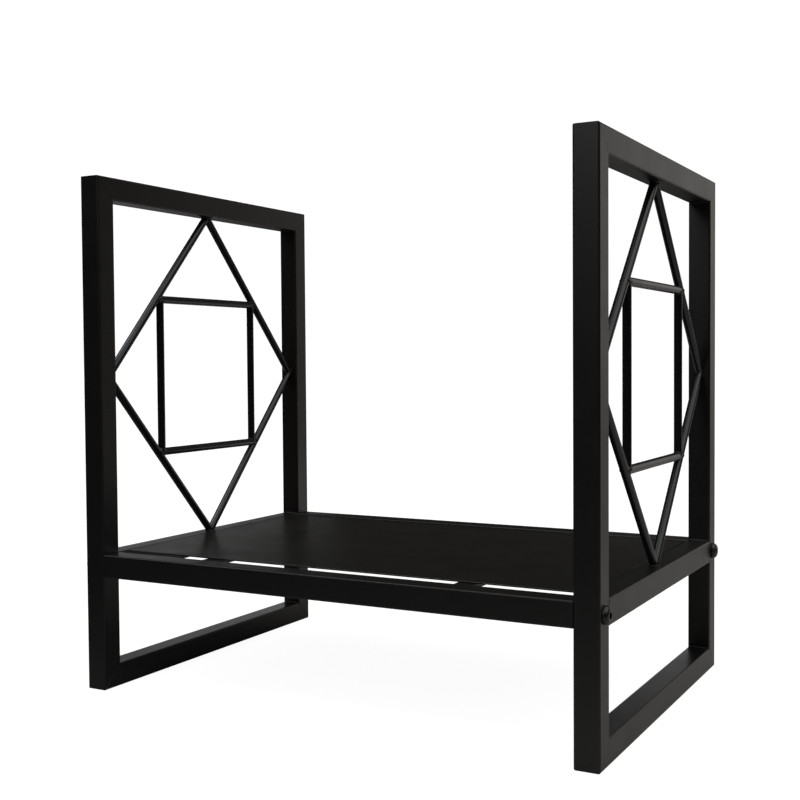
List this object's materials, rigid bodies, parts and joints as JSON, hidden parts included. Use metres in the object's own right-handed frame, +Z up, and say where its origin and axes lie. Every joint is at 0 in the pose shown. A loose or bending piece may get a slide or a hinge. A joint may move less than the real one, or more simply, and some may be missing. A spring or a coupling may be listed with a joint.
{
  "type": "firewood log rack",
  "caption": "Open firewood rack: two square-tube side frames with a diamond-and-square rod lattice, bolted to a low shelf that holds a stack of logs.",
  "frame": {"origin": "on the floor, at the centre of the footprint of the two bottom rails", "axes": "+X to the right along the front, +Y from front to rear, +Z up"},
  "size_m": [0.611, 0.415, 0.572],
  "materials": {
    "frame_coat": "black powder coat on square tube and flat bar, satin, with a fine orange-peel texture",
    "rod_coat": "black powder coat on round rod, a little glossier than the tube",
    "shelf_sheet": "black powder coat on flat sheet, semi-gloss",
    "bolt_black_oxide": "black oxide with a thin oil sheen",
    "bare_steel": "zinc plated, hidden inside the rails"
  },
  "bodies": {
    "root": {"left_front_upright": "frame_coat", "left_rear_upright": "frame_coat", "left_top_rail": "frame_coat", "left_bottom_rail": "frame_coat", "left_shelf_side_rail": "frame_coat", "left_diamond_rod_front_upper": "rod_coat", "left_diamond_rod_front_lower": "rod_coat", "left_diamond_rod_rear_upper": "rod_coat", "left_diamond_rod_rear_lower": "rod_coat", "left_square_rod_top": "rod_coat", "left_square_rod_bottom": "rod_coat", "left_square_rod_front": "rod_coat", "left_square_rod_rear": "rod_coat", "right_front_upright": "frame_coat", "right_rear_upright": "frame_coat", "right_top_rail": "frame_coat", "right_bottom_rail": "frame_coat", "right_shelf_side_rail": "frame_coat", "right_diamond_rod_front_upper": "rod_coat", "right_diamond_rod_front_lower": "rod_coat", "right_diamond_rod_rear_upper": "rod_coat", "right_diamond_rod_rear_lower": "rod_coat", "right_square_rod_top": "rod_coat", "right_square_rod_bottom": "rod_coat", "right_square_rod_front": "rod_coat", "right_square_rod_rear": "rod_coat", "shelf_front_rail": "frame_coat", "shelf_rear_rail": "frame_coat", "shelf_panel": "shelf_sheet", "shelf_support_left": "frame_coat", "shelf_support_right": "frame_coat", "left_front_rail_end_plate": "bare_steel", "left_rear_rail_end_plate": "bare_steel", "right_front_rail_end_plate": "bare_steel", "right_rear_rail_end_plate": "bare_steel", "left_front_weld_nut": "bare_steel", "left_rear_weld_nut": "bare_steel", "right_front_weld_nut": "bare_steel", "right_rear_weld_nut": "bare_steel", "left_front_bolt": "bolt_black_oxide", "left_rear_bolt": "bolt_black_oxide", "right_front_bolt": "bolt_black_oxide", "right_rear_bolt": "bolt_black_oxide"}
  },
  "joints": []
}
